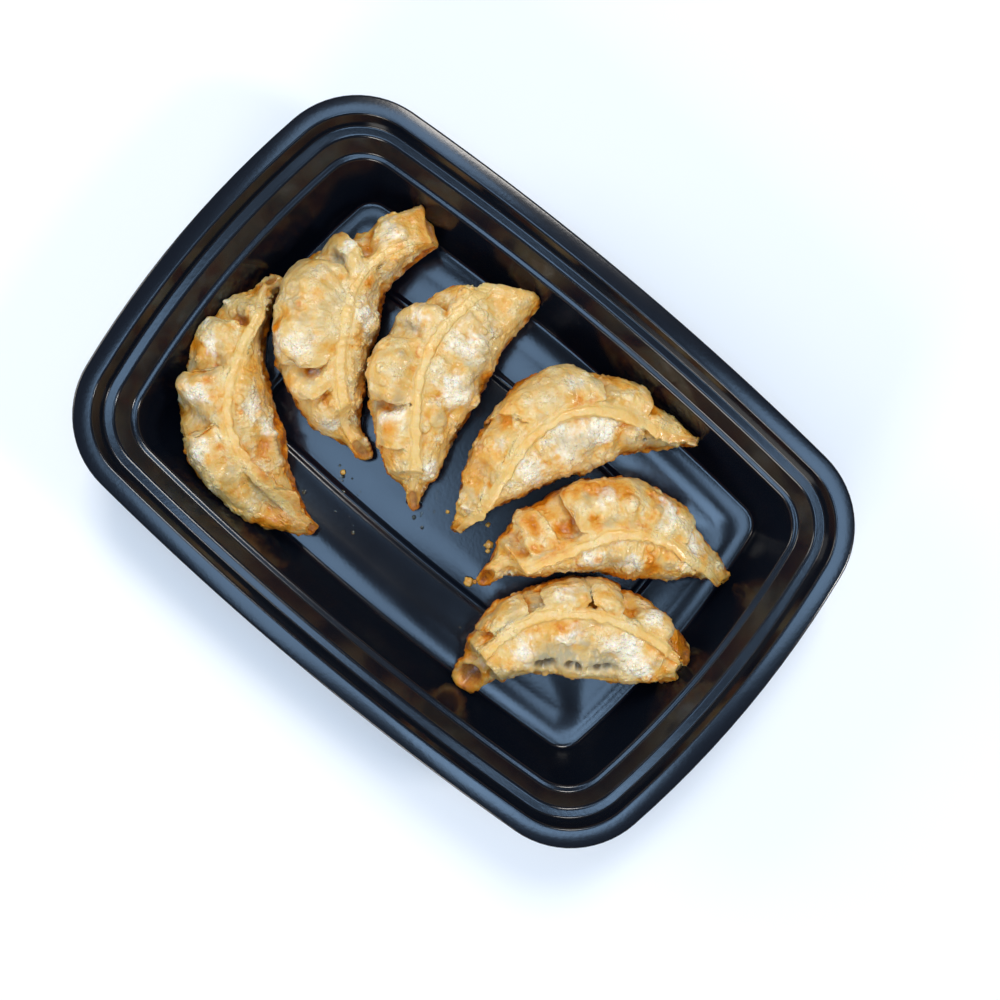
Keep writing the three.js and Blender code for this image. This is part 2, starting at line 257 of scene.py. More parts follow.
# The centre line is an arc of the bow's height, with a sway towards either end. The
# tucked and the smooth side each have their greatest width, where along it that is,
# how much the ends narrow, and how high the belly is. The seam's five values are how
# far it lies beside the centre line from head to tail. At the head, middle and tail,
# band is the seam's width, fin how tall it stands, and lean how far its crest hangs
# over. Toast is how brown the skin is all over.
# In each list t is the share of the length from the head, and across runs from 0 at
# the seam to 1 at the tucked side's outline, or -1 at the smooth side's.
#   tucks: t, which way the edge drops, depth, slant, how much of it reaches the outline
#   lumps: from t, across to t, across, radius, height
#   blisters: t, across, radius, height
#   stains: t, across, radius, how brown (above 0) or how see-through (below 0)
#   cream patches, partly a painted white sheen, and holes: t, across, radius
GYOZA = {}
GYOZA["gyoza_1"] = dict(
    place=(-57.8, -18.2), heading=-42.6, length=84, bow=21, sway=-1.8, height=29,
    tucked=(15, 0.47, 0.6, 17), smooth=(15.5, 0.62, 1.35, 11),
    seam=(-2.5, -3.9, -3.2, -2.6, -1.5), band=(2.4, 2.7, 3.4), fin=(3, 2.6, 10), lean=(0.5, -0.3, 5.5),
    head=folded_end(2.4, 9, 20, 0.8, 2, 0.5), tail=folded_end(1.8, 4, 11.5, 0, 2, 0.3),
    tucks=[(0.2, -1, 4.5, 0.05, 0.6), (0.37, -1, 4.5, 0.09, 0.5), (0.57, -1, 1.8, 0.04, 0.4)],
    lumps=[(0.18, 0.08, 0.2, 0.4, 2.6, -0.9), (0.38, 0.2, 0.4, 0.4, 2.6, -1.4),
        (0.55, 0.35, 0.5, 0.75, 4, -2.6), (0.8, 0.04, 0.9, 0.15, 2.6, -1.8), (0.66, 0.3, 0.72, 0.3, 5, 0.9),
        (0.44, 0.25, 0.44, 0.5, 4, 1), (0.66, -0.35, 0.6, -0.4, 3, -0.8), (0.42, -0.3, 0.42, -0.6, 4, 0.9),
        (0.74, -0.2, 0.7, -0.36, 2.4, -1.3), (0.66, -0.62, 0.78, -0.6, 1.7, 0.9)],
    blisters=[(0.546, -0.5, 2, 0.7), (0.15, 0.2, 2.6, 0.9), (0.845, 0.12, 2.2, 0.6), (0.47, -0.06, 1.8, 0.6),
        (0.4, 0.18, 1.2, 0.6), (0.74, 0.4, 1.6, 0.7), (0.68, 0.5, 1.3, 0.6)],
    stains=[(0.19, 0.1, 2, 0.6), (0.53, 0.4, 4, -0.8), (0.52, -0.1, 0.9, 0.9), (0.645, 0.08, 1.2, 0.8),
        (0.73, -0.3, 2.8, 0.65), (0.7, -0.42, 2.8, 0.65), (0.41, 0.16, 1.8, 0.5), (0.84, 0.1, 3, -0.5),
        (0.94, 0.2, 5, 0.6), (0.16, 0.2, 2.4, -0.5), (0.315, 0.7, 3.5, 0.7), (0.8, -0.85, 3.5, 0.7),
        (0.9, 0.8, 4, 0.5)],
    creams_and_sheens=[(0.3, 0.3, 4), (0.46, 0.3, 5), (0.62, 0.3, 4), (0.5, -0.4, 4), (0.62, -0.6, 4)],
    holes=[], toast=0.42,
)
GYOZA["gyoza_2"] = dict(
    place=(-44, 18.8), heading=-66, length=79, bow=27.5, sway=1.1, height=29,
    tucked=(13.6, 0.57, 0.84, 10), smooth=(19.5, 0.49, 1.45, 11),
    seam=(-5.5, -7.8, -12, -7.4, -2.5), band=(2, 2.9, 3.2), fin=(0.6, 2.6, 3.4), lean=(1, -0.6, 0.8),
    head=folded_end(7, 9, 20, 0, 2.5, 0.2), tail=folded_end(3, 5, 14, 0.9, 0.9, 0.9),
    tucks=[(0.2, -1, 5, 0.04, 0.9), (0.3, -1, 4.5, 0.06, 0.1), (0.69, 1, 6, -0.07, 0.12),
        (0.775, 1, 4.5, -0.03, 0.06)],
    lumps=[(0.282, 0.3, 0.285, 0.46, 2.1, -2.6), (0.17, -0.05, 0.2, -0.75, 2, -1.1),
        (0.18, 0.15, 0.16, 0.7, 3, -2), (0.09, 0.2, 0.09, 0.5, 5, 1.2), (0.7, 0.35, 0.64, 0.6, 2.4, -1.2),
        (0.52, 0.3, 0.52, 0.6, 2.6, -0.9), (0.4, 0.3, 0.4, 0.7, 5, 1), (0.6, -0.4, 0.5, -0.4, 3, -0.9),
        (0.38, -0.4, 0.36, -0.7, 4, 0.9), (0.75, -0.5, 0.7, -0.6, 3, 0.8)],
    blisters=[(0.437, 0.42, 2.4, 0.8), (0.487, 0.28, 2, 0.7), (0.817, 0.15, 2, 0.8), (0.613, -0.16, 2.8, 0.8),
        (0.9, -0.2, 2, 1.3), (0.84, -0.25, 1, 0.6), (0.87, -0.25, 1.2, 0.7), (0.08, 0.12, 1.2, 0.6),
        (0.74, 0.2, 0.9, 0.5), (0.1, 0.4, 1.4, 0.7), (0.07, 0.6, 1.2, 0.7)],
    # The stains at t 0.72 and 0.725 are painted shade under a tuck's edge, not browning.
    stains=[(0.55, 0.55, 2.4, 1.3), (0.487, 0.28, 1.2, 1), (0.282, 0.38, 2.8, -1.5), (0.72, 0.3, 2.2, 0.45),
        (0.725, 0.65, 2.4, 0.45), (0.236, -0.12, 2.2, 0.8), (0.817, 0.15, 1.6, 0.6), (0.85, 0.5, 4, -0.5),
        (0.09, 0.3, 3, -0.5), (0.15, 0.6, 2.4, 0.6), (0.2, 0.85, 3, 0.6), (0.613, -0.16, 1.4, 0.4)],
    creams_and_sheens=[(0.62, 0.3, 5), (0.6, 0.6, 4.5), (0.71, 0.3, 3), (0.9, 0.4, 4), (0.22, 0.3, 2.5), (0.4, -0.4, 5),
        (0.08, 0.2, 4)],
    holes=[], toast=0.34,
)
GYOZA["gyoza_3"] = dict(
    place=(-16, 17.6), heading=-75, length=79, bow=11, sway=1, height=30,
    tucked=(20, 0.45, 1.05, 12), smooth=(15, 0.37, 0.87, 11),
    seam=(4.5, 3.7, 2.7, -0.4, 0), band=(4, 2.8, 4.4), fin=(1.5, 2.8, 4.2), lean=(0.5, 0, 1),
    head=folded_end(4.7, 9, 22, 0, 1.5, 0.1, 1.15), tail=folded_end(2.4, 5, 14, 0.8, 0.8, 0.8),
    tucks=[(0.26, -1, 4.5, 0.07, 0.5), (0.39, -1, 3, 0.08, 0.5), (0.61, 1, 6, -0.02, 0),
        (0.77, 1, 3.6, 0, 0.2)],
    lumps=[(0.625, 0.45, 0.62, 0.7, 2, -2.2), (0.24, 0.15, 0.26, 0.45, 2.6, -1.2),
        (0.5, 0.3, 0.5, 0.6, 6, 1.1), (0.36, 0.3, 0.37, 0.6, 2.6, -1), (0.2, 0.3, 0.2, 0.6, 4, 0.8),
        (0.45, -0.3, 0.4, -0.3, 3, -0.9), (0.5, -0.6, 0.5, -0.8, 4, 1.2), (0.3, -0.5, 0.3, -0.8, 4, 1.1),
        (0.56, -0.2, 0.6, -0.5, 3, -0.9)],
    blisters=[(0.267, -0.37, 3, 0.8), (0.415, -0.46, 2.6, 0.8), (0.633, -0.26, 3.4, 0.7),
        (0.68, -0.04, 1.9, 1), (0.285, -0.12, 1.4, 0.6), (0.52, 0.3, 1.8, 0.6), (0.45, 0.2, 1.4, 0.5),
        (0.5, -0.75, 2, 0.9)],
    stains=[(0.25, 0.03, 1.2, 0.9), (0.715, 0.3, 3.2, 0.6), (0.357, 0.45, 2.4, -0.8), (0.62, 0.33, 2.6, -0.9),
        (0.385, 0.15, 1.8, 0.7), (0.354, -0.8, 2.4, 0.8), (0.15, 0.85, 4, 0.6), (0.633, -0.26, 2.6, -0.5),
        (0.8, 0.6, 4, 0.4), (0.5, 0.9, 5, 0.3)],
    creams_and_sheens=[(0.66, 0.2, 4), (0.67, 0.45, 3), (0.31, 0.3, 4), (0.3, -0.25, 6), (0.5, -0.4, 7),
        (0.85, -0.3, 4)],
    holes=[(0.612, 0.03, 0.3)], toast=0.3,
)
GYOZA["gyoza_4"] = dict(
    place=(30.4, 19.5), heading=-120.4, length=85.6, bow=20.5, sway=1.2, height=30,
    tucked=(17, 0.5, 1.2, 14), smooth=(16, 0.48, 0.96, 11),
    seam=(-0.5, -0.5, 1.3, -3, -1.5), band=(4.2, 2.7, 2.4), fin=(8, 3.2, 5.5), lean=(3, 0.2, 2.4),
    head=folded_end(1.4, 12, 17, 0, 0.6, 0.3), tail=folded_end(1.1, 2.5, 6, 0, 0.3, 0.2),
    tucks=[(0.175, -1, 4.5, 0.02, 0.9), (0.325, -1, 3.6, 0.09, 0.5), (0.595, 1, 2, 0.11, 0.3)],
    lumps=[(0.645, 0.4, 0.66, 0.6, 2.6, -1), (0.31, 0.1, 0.34, 0.5, 2.4, -0.8),
        (0.27, -0.1, 0.24, -0.6, 2.4, -0.7), (0.4, -0.2, 0.32, -0.3, 4, 0.9),
        (0.47, -0.1, 0.55, -0.16, 2.4, -0.8), (0.16, -0.3, 0.12, -0.3, 3, -1.6),
        (0.45, 0.3, 0.45, 0.6, 6, 0.9), (0.33, -0.75, 0.28, -0.8, 3, 1.2), (0.45, -0.8, 0.42, -0.8, 3, 1),
        (0.8, 0.3, 0.86, 0.3, 2.6, -1)],
    blisters=[(0.55, 0.37, 1.9, 0.8), (0.5, 0.55, 1.5, 0.6), (0.42, 0.4, 1.2, 0.5), (0.72, 0.5, 2, 0.6),
        (0.6, 0.2, 3.4, 0.6), (0.4, -0.35, 2.4, 0.7), (0.3, -0.7, 1.7, 0.9), (0.15, 0.02, 1.7, 0.7),
        (0.36, 0.75, 1.3, 0.8), (0.335, 0.95, 0.9, 1), (0.31, 0.98, 1.1, 1.2), (0.3, 0.94, 0.8, 0.9)],
    stains=[(0.645, 0.45, 2, 0.6), (0.567, 0.67, 2.2, 0.6), (0.82, 0.05, 1.3, 0.9), (0.17, 0.3, 3.5, 0.9),
        (0.3, 0.75, 4.5, 0.6), (0.5, 0.95, 6, 0.6), (0.14, -0.6, 3, -0.9), (0.44, -0.3, 4, -0.5),
        (0.35, 0.35, 3, -0.4), (0.8, 0.5, 5, 0.4), (0.48, 0.4, 8, -0.35), (0.15, -0.7, 1.2, 1.2)],
    creams_and_sheens=[(0.35, -0.15, 6), (0.5, -0.25, 7), (0.68, -0.3, 5), (0.4, 0.25, 3), (0.7, 0.25, 3)],
    holes=[(0.15, -0.5, 0.7)], toast=0.32,
)
GYOZA["gyoza_5"] = dict(
    place=(58.1, 1.2), heading=-139.7, length=83, bow=22, sway=1.8, height=29,
    tucked=(12.5, 0.6, 0.85, 12), smooth=(20.5, 0.4, 1.25, 10),
    seam=(-5, -5, -6, -6.4, -1), band=(3, 3, 3.2), fin=(3.4, 3.2, 3.2), lean=(0.8, 0.5, 0.5),
    head=folded_end(1.7, 6, 14, 0.2, 0.8, 0.4), tail=folded_end(3, 5, 14, 1, 1.2, 0.9),
    tucks=[(0.2, -1, 4.5, 0.03, 0.4), (0.615, 1, 4.5, 0.02, 0.1), (0.71, -1, 2.6, 0.04, 0.3),
        (0.8, 1, 3.6, -0.02, 0.4)],
    lumps=[(0.76, 0.25, 0.745, 0.5, 2.6, -1.2), (0.675, 0.12, 0.67, 0.25, 2, -1),
        (0.14, 0.3, 0.13, 0.7, 4, -0.8), (0.71, 0.2, 0.72, 0.5, 2.4, 0.9), (0.64, 0.1, 0.62, 0.3, 2.2, -1.2),
        (0.4, 0.3, 0.42, 0.6, 6, 0.8), (0.83, 0.3, 0.82, 0.6, 2.4, -1.6), (0.7, 0.6, 0.69, 0.95, 1, -0.5),
        (0.5, -0.4, 0.4, -0.4, 3, -0.9)],
    blisters=[(0.431, 0.24, 3.2, 0.45), (0.562, 0.15, 1.5, 0.8), (0.539, 0.5, 2.4, 0.8),
        (0.327, 0.26, 1.7, 0.7), (0.133, -0.05, 2.2, 1.2), (0.911, 0.05, 1.9, 1.1), (0.5, 0.3, 1.1, 0.5),
        (0.36, 0.5, 1.5, 0.6), (0.585, -0.22, 1.9, 0.7), (0.4, -0.5, 2.2, 0.8), (0.25, 0.5, 2.2, 0.6)],
    stains=[(0.757, 0.3, 2.8, 0.75), (0.75, 0.5, 2.8, 0.75), (0.674, 0.22, 2.6, 0.75), (0.246, -0.4, 2.4, 1),
        (0.431, 0.3, 2.8, 0.35), (0.456, 0.9, 4.5, 0.9), (0.562, 0.15, 1.2, 0.8), (0.585, -0.22, 1.6, 0.6),
        (0.62, 0.12, 2.4, -0.8), (0.83, 0.4, 3, -0.5), (0.7, 0.9, 5, 0.7), (0.45, -0.8, 5, 0.7),
        (0.1, 0.5, 6, -0.3)],
    creams_and_sheens=[(0.3, 0.4, 5), (0.5, 0.35, 4), (0.6, -0.2, 4), (0.4, -0.3, 4), (0.15, 0.4, 5)],
    holes=[], toast=0.52,
)
GYOZA["gyoza_6"] = dict(
    place=(69.9, -30.3), heading=-136.6, length=74.4, bow=15.5, sway=-1.4, height=31,
    tucked=(18.2, 0.4, 0.8, 13), smooth=(13.8, 0.45, 1.2, 10),
    seam=(3.5, 7.2, 8.6, 5.3, 0.5), band=(2.8, 2.8, 3.2), fin=(4, 2.4, 3), lean=(1, 0.2, 0.3),
    head=folded_end(2.4, 14, 25, 0, 4, 0.6), tail=folded_end(5.6, 6, 16, 1, 8, 1.1),
    tucks=[(0.14, -1, 3.6, 0, 0.4), (0.335, -1, 4.2, 0.02, 0.3), (0.43, 1, 3.8, 0.03, 0.5),
        (0.455, -1, 3.8, 0.02, 0.5), (0.585, 1, 3.6, 0.02, 0.1), (0.65, -1, 3.6, 0.02, 0.1),
        (0.79, 1, 3.2, 0.04, 0.4)],
    lumps=[(0.618, 0.15, 0.62, 0.4, 2, -0.8), (0.443, 0.2, 0.45, 0.6, 1.8, -0.4),
        (0.06, 0.3, 0.04, 0.6, 3, -1.8), (0.3, 0.15, 0.3, 0.4, 2.6, -1.2),
        (0.55, -0.35, 0.35, -0.35, 4, -1.2), (0.617, -0.5, 0.6, -0.5, 1.6, -1.6),
        (0.47, -0.52, 0.46, -0.52, 1.2, -1.4), (0.39, -0.54, 0.4, -0.54, 1.1, -1.2),
        (0.32, -0.5, 0.3, -0.5, 1.6, -1.4), (0.7, -0.5, 0.75, -0.4, 3, 0.8), (0.12, 0.2, 0.1, 0.4, 2.6, -1)],
    blisters=[(0.7, -0.3, 2.2, 0.6), (0.5, -0.12, 1.6, 0.5), (0.2, -0.4, 1.8, 0.6), (0.25, -0.15, 1.5, 0.5),
        (0.8, -0.3, 2, 0.6), (0.55, 0.3, 1.8, 0.6), (0.27, 0.4, 2, 0.7), (0.15, -0.55, 1.4, 0.6)],
    stains=[(0.618, 0.25, 2.8, -1.4), (0.614, 0.6, 2.2, -1), (0.62, -0.42, 5, -1.5), (0.54, -0.42, 4.5, -1.5),
        (0.46, -0.48, 4, -1.4), (0.38, -0.42, 5, -1.5), (0.32, -0.42, 4.5, -1.5), (0.284, 0.37, 1.6, 0.9),
        (0.05, 0.6, 4.5, 1), (0.4, 0.9, 5, 0.5), (0.445, 0.3, 1.8, 0.5), (0.98, 0.5, 5, 0.5),
        (0.1, -0.9, 4, 0.5)],
    creams_and_sheens=[(0.3, -0.15, 6), (0.5, -0.12, 5), (0.7, -0.25, 5), (0.2, -0.35, 6), (0.52, 0.35, 4),
        (0.22, 0.4, 4)],
    holes=[(0.625, -0.5, 2.4), (0.655, -0.46, 1.6), (0.5, -0.53, 1.6), (0.45, -0.55, 1.1), (0.36, -0.52, 1.6),
        (0.32, -0.5, 1.4)],
    toast=0.4,
)
BASE_SHARE = 0.6  # the flat base's width as a share of the greatest
FLANK_POWER = 0.85  # how square the flank's curve is: 1 is round
COLUMNS = 300  # sections along a dumpling
FOLD_COLUMNS = 9  # of them in the turned-under edge of each tuck
VALLEY = 0.25  # how much deeper the sheet lies right beside a tuck, as a share of its depth
PUFF = 0.22  # how much each sheet swells between its tucks, as a share of their depth
OVERLAP = 0.9  # how far a tuck's edge reaches over its neighbour
SIDE_POINTS = [8, 6, 60, 24, 6]  # round one side: crown, band, flank, belly, base
TUCKED_BAND = dict(height=0.3, rounding=0.5)  # the band's share of the fin, and its bevel
SMOOTH_BAND = dict(height=0.52, rounding=0.8)
BAND_FADE = 0.075  # share of the length over which the band runs out at a tip
ROLL_FROM, ROLL_OVER = 0.86, 0.12  # where an end starts to roll up, and over how much
CUT_FROM, CUT_OVER = 0.84, 0.16  # the same for the slant of its cut
DOUGH = 1.5  # thickness of the dough at an open end
# The rim of an open end: how far in as a share of the dough, and how far down.
LIP = ((0.25, -0.3), (0.6, -0.42), (0.95, -0.25), (1.1, 0.15))
# Its hollow: what is left of the rim's width, and the share of the depth.
HOLLOW = ((0.98, 0.2), (0.93, 0.45), (0.85, 0.7), (0.7, 0.88), (0.45, 0.97), (0.05, 1.0))
INSIDE = (0.1, 0.15, 0.2, 0.35, 0.6, 0.8, 0.9, 1, 1, 1)  # how much each of these counts as inside
COLUMN_STEP, POINT_STEP = 0.22, 0.3  # the least distances in the grid, along and round


def mix(a, b, t):
    return a + (b - a) * t


def smoothstep(x):
    x = np.clip(x, 0, 1)
    return x * x * (3 - 2 * x)


def swell(t, fullest, taper):
    """0 at both ends and 1 at the fullest place."""
    skew = math.log(0.5) / math.log(fullest)
    return np.sin(np.pi * np.clip(t, 0, 1) ** skew) ** taper


def three_way(values, t):
    """A smooth run through a value at the head, the middle and the tail."""
    head, middle, tail = values
    return mix(head, tail, t) + (middle - (head + tail) / 2) * 4 * t * (1 - t)


def tuck_columns(tucks):
    """Each section's place, how high it rides, how far it hangs over, and its tuck's numbers."""
    places = [0.0] + [tuck[0] for tuck in tucks] + [1.0]
    drops = [tuck[1] for tuck in tucks]
    # A dropping edge is high and hangs over; the sheet beyond starts low, a little under it.
    ends = [(1.0, 1.0) if drop > 0 else (-VALLEY, 0.4) for drop in drops] + [(0.5, 0.0)]
    starts = [(0.5, 0.0)] + [(-VALLEY, -0.4) if drop > 0 else (1.0, -1.0) for drop in drops]
    free = COLUMNS - FOLD_COLUMNS * len(tucks)
    columns = []
    for k, (start, end) in enumerate(zip(places, places[1:])):
        count = max(8, round(free * (end - start)))
        p = (np.arange(count) + 0.5) / count
        ride = mix(starts[k][0], ends[k][0], p) + PUFF * np.sin(np.pi * p) ** 0.8
        from_edge = 75 * (end - start) * np.stack([p, 1 - p])
        rounded = 0.25 * np.exp(-(from_edge**2))
        ride -= rounded[0] * (starts[k][0] == 1) + rounded[1] * (ends[k][0] == 1)
        reach = min(0.35, 2.5 / (70 * (end - start)))
        hang = starts[k][1] * (1 - smoothstep(p / reach)) + ends[k][1] * smoothstep((p - 1 + reach) / reach)
        before, after = tucks[max(k - 1, 0)], tucks[min(k, len(tucks) - 1)]
        own = [mix(x, y, p) for x, y in zip(before[2:], after[2:])]
        columns.append(np.stack([mix(start, end, p), ride, hang, *own]))
        if k < len(tucks):
            q = smoothstep((np.arange(FOLD_COLUMNS) + 0.5) / FOLD_COLUMNS)
            own = [0 * q + x for x in tucks[k][2:]]
            nose = drops[k] * 0.5 * np.sin(np.pi * q)
            high = 0.25 * np.where(drops[k] > 0, 1 - q, q)
            columns.append(np.stack([0 * q + end, mix(ends[k][0], starts[k + 1][0], q) - high,
                                     mix(ends[k][1], starts[k + 1][1], q) + nose, *own]))
    return [row[:, None] for row in np.concatenate(columns, axis=1)]


def dumpling_side(side, gyoza, seed):
    """One side of every section, from the seam's crown to the middle of the base."""
    widest, fullest, taper, belly_height = gyoza["tucked" if side > 0 else "smooth"]
    head, tail = gyoza["head"], gyoza["tail"]
    t_fold, ride, hang, depth, slant, scallop = tuck_columns(gyoza["tucks"])
    count = len(t_fold)
    t_even = ((np.arange(count) + 0.5) / count)[:, None]
    part = np.repeat(np.arange(5), SIDE_POINTS)[None]
    local = np.concatenate([(np.arange(n) + 0.5) / n for n in SIDE_POINTS])[None]
    local = np.where(part == 4, local + 0.5 / SIDE_POINTS[4], local)

    # The tucks are deepest half way down the flank, and fade at the seam and the outline.
    flank = smoothstep(local / 0.22) * mix(1.0, scallop, smoothstep((local - 0.45) / 0.5))
    belly = scallop * (1 - smoothstep(local / 0.6))
    fade = np.where(part == 2, flank, np.where(part == 3, belly, 0.0)) * (side > 0)
    track = np.choose(part, [0 * local, 0 * local, local, 1 + local * 0.5, 0 * local + 2])
    near_end = smoothstep(t_fold / 0.1) * smoothstep((1 - t_fold) / 0.1)
    wobble = [noise.fractal(Vector((x * 3, y * 2.2, seed * 3.1)), 0.8, 2.0, 2)
              for x in t_fold[:, 0] for y in track[0]]
    wobble = 0.012 * np.array(wobble).reshape(len(t_fold), -1)
    t = mix(t_even, t_fold + (slant * (track - 0.2) + wobble) * near_end, smoothstep(fade * 3.5))
    t = np.clip(t, 0.001, 0.999)

    full = np.sin(np.pi * t) ** 0.7
    share = swell(t, fullest, taper)
    width = mix(mix(head["width"], tail["width"], t), widest, share)
    top = mix(mix(head["top"], tail["top"], t), gyoza["height"], full)
    lift = mix(head["lift"], tail["lift"], t) * (1 - full) ** 1.5
    line = mix(mix(lift, top, 0.45), belly_height, full)
    wave = np.array([noise.fractal(Vector((x * 9, seed, 0)), 0.8, 2.0, 3) for x in t_even[:, 0]])[:, None]
    ripple = np.array([noise.fractal(Vector((x * 26, seed, 5)), 0.8, 2.0, 2) for x in t_even[:, 0]])[:, None]
    seam = np.polyval(np.polyfit(np.linspace(0, 1, 5), gyoza["seam"], 4), t)
    seam = seam + (0.6 * wave + 0.25 * ripple) * full
    fin = np.minimum(three_way(gyoza["fin"], t) * (1 + 0.25 * wave), 0.5 * (top - lift))
    tip = smoothstep(np.minimum(t, 1 - t) / BAND_FADE)
    shape = TUCKED_BAND if side > 0 else SMOOTH_BAND
    fin = fin * shape["height"] * mix(0.3, 1, tip)
    lean = (three_way(gyoza["lean"], t) + 0.8 * ripple) * tip
    band = three_way(gyoza["band"], t) * (0.9 + 0.35 * wave + 0.2 * ripple) * mix(0.5, 1, tip) / 2
    crown = top + 0.25 * ripple
    shoulder = top - fin
    edge = seam + side * band
    rounding = np.minimum(shape["rounding"], 0.5 * fin)

    bend = local * np.pi / 2
    crown_v = seam + side * band * np.sin(bend) ** 0.7
    crown_z = crown - rounding * (1 - np.cos(bend)) ** 1.2
    band_z = mix(crown - rounding, shoulder, local)
    band_v = edge + side * 0.5 * local**2
    angle = np.pi / 2 * (1 - local)
    flank_v = mix(edge + side * 0.5, side * width, np.cos(angle) ** FLANK_POWER)
    flank_z = mix(line, shoulder, np.sin(angle) ** FLANK_POWER)
    belly_v = side * width * mix(BASE_SHARE, 1, np.cos(bend))
    belly_z = mix(line, lift, np.sin(bend))
    base_v = side * width * BASE_SHARE * (1 - local)
    which = part + 0 * t.astype(int)
    v = np.choose(which, [crown_v + 0 * local, band_v, flank_v, belly_v, base_v])
    z = np.choose(which, [crown_z, band_z, flank_z, belly_z, lift + 0 * local])
    above = np.clip((z - shoulder) / np.maximum(fin, 0.1), 0, 1)
    v = v - np.where(part < 2, lean * above**1.3, 0)
    z = z - np.where(part < 2, np.abs(lean) * 0.22 * above**2, 0)

    push = (ride - 0.6) * 1.15 * depth * fade * share**0.4
    tilt = np.where(part == 2, angle, 0)
    v = v + side * push * np.cos(tilt * 0.9)
    z = z + push * np.sin(tilt * 0.9)
    # Where an end is rolled into a tube, its sections turn into ovals.
    around = np.cumsum(np.ones(part.shape)) / part.size
    for end, near in ((head, 1 - t), (tail, t)):
        roll = end["ring"] * smoothstep((near - ROLL_FROM) / ROLL_OVER)
        low, high = end["lift"], end["top"]
        oval_v = side * end["width"] * np.sin(np.pi * around)
        oval_z = (low + high) / 2 + (high - low) / 2 * np.cos(np.pi * around)
        v, z = mix(v, oval_v, roll), mix(z, oval_z, roll)
    return t, v, z, hang * OVERLAP * fade * share**0.5, which, side * track + 0 * t, push


def dumpling_grid(gyoza, seed):
    """Every section's points in the dumpling's own frame, from head to tail, and facts about each."""
    tucked, smooth = dumpling_side(1, gyoza, seed), dumpling_side(-1, gyoza, seed)
    t, v, z, shift, part, across, push = [
        np.concatenate([a, b[:, ::-1][:, 1:]], axis=1) for a, b in zip(tucked, smooth)]
    length, bow, sway = gyoza["length"], gyoza["bow"], gyoza["sway"]
    centre_v = bow * 4 * t * (1 - t) + sway * np.sin(2 * np.pi * t)
    slope = bow * 4 * (1 - 2 * t) + sway * 2 * np.pi * np.cos(2 * np.pi * t)
    size = np.hypot(length, slope)
    along_x, along_v = length / size, slope / size
    # The ends are cut at a slant, so that the open folds face up and out.
    for end, sign, near in (("head", -1, 1 - t), ("tail", 1, t)):
        above = gyoza[end]["slant"] * (z - gyoza[end]["lift"]) + gyoza[end]["skew"] * v
        shift = shift - sign * above * smoothstep((near - CUT_FROM) / CUT_OVER)
    x = length * (t - 0.5) + along_x * shift - along_v * v
    y = -(centre_v + along_v * shift + along_x * v)
    return np.stack([x, y, z], axis=2), {"t": t, "part": part, "across": across, "push": push}


def with_open_ends(points, facts, gyoza):
    """Closes both ends with a short hollow, as the rolled dough gapes there."""
    blocks, extra = [points], {key: [value] for key, value in facts.items()}
    extra["mouth"] = [np.zeros(points.shape[:2])]
    for end, index, inner in (("head", 0, 4), ("tail", -1, -5)):
        ring, centre = points[index], points[index].mean(0)
        out = centre - points[inner].mean(0)
        out /= np.linalg.norm(out)
        plane = np.cross(ring - centre, np.roll(ring, -1, axis=0) - centre).sum(0)
        plane *= np.sign(plane @ out) / np.linalg.norm(plane)
        down = -(out + plane) / np.linalg.norm(out + plane)
        spread = np.linalg.norm(ring - centre, axis=1, keepdims=True)
        inward = (centre - ring) / np.maximum(spread, 1e-6)
        deep = gyoza[end]["mouth"]
        rings = []
        for wall, sink in LIP:
            rings.append(ring + inward * np.minimum(wall * DOUGH, spread * 0.45) + down * sink)
        hollow = rings[-1]
        for scale, sink in HOLLOW:
            rings.append(centre + (hollow - centre) * scale + down * sink * deep)
        block = np.stack(rings)
        inside = np.array(INSIDE)[:, None] * np.ones(len(ring))
        order = slice(None, None, -1) if end == "head" else slice(None)
        place = 0 if end == "head" else len(blocks)
        blocks.insert(place, block[order])
        for key, value in facts.items():
            extra[key].insert(place, np.repeat(value[index][None], len(rings), axis=0))
        extra["mouth"].insert(place, inside[order])
    return np.concatenate(blocks), {key: np.concatenate(value) for key, value in extra.items()}


def grid_faces(columns, around):
    """Quads round the grid, and one face to close each end."""
    a = (np.arange(columns - 1)[:, None] * around + np.arange(around)[None]).ravel()
    b = (np.arange(columns - 1)[:, None] * around + (np.arange(around)[None] + 1) % around).ravel()
    quads = np.stack([a, a + around, b + around, b], axis=1).tolist()
    first = list(range(around))
    last = [(columns - 1) * around + i for i in range(around)][::-1]
    return quads + [first, last]


def surface_normals(points):
    along = np.gradient(points, axis=0)
    around = np.roll(points, -1, axis=1) - np.roll(points, 1, axis=1)
    normal = np.cross(around, along)
    return normal / np.maximum(np.linalg.norm(normal, axis=2, keepdims=True), 1e-9)


# What is uneven on the skin: its size, how many finer layers it has, seed and strength.
UNEVEN = {
    "swells": (11.0, 3, 0, 1.1), "waves": (4.5, 2, 7, 0.24), "gathers": (1.0, 2, 71, 0.7),
    "crumbly_edge": (1.3, 2, 13, 0.45), "torn_edge": (4.0, 2, 61, 1.0), "froth": (5.0, 3, 21, 1.0),
    "grain": (0.8, 2, 3, 0.1), "patches": (8.0, 3, 11, 1.1), "crust": (5.0, 2, 31, 0.6),
    "thinness": (7.0, 2, 41, 1.6), "flecks": (2.0, 3, 81, 1.0), "band_tone": (3.0, 3, 51, 0.6),
}


def uneven(points, kind, number):
    """Smooth noise from the points' own places, between minus and plus its strength."""
    scale, octaves, seed, strength = UNEVEN[kind]
    seed += number
    offset = Vector((seed * 17.3, seed * 5.1, seed * 9.7))
    flat = points.reshape(-1, 3) / scale
    values = [noise.fractal(Vector(p) + offset, 0.9, 2.0, octaves) for p in flat]
    return strength * np.array(values).reshape(points.shape[:2])


def bell(x, power=2):
    """1 where x is 0, fading on both sides."""
    return np.exp(-(x**power))


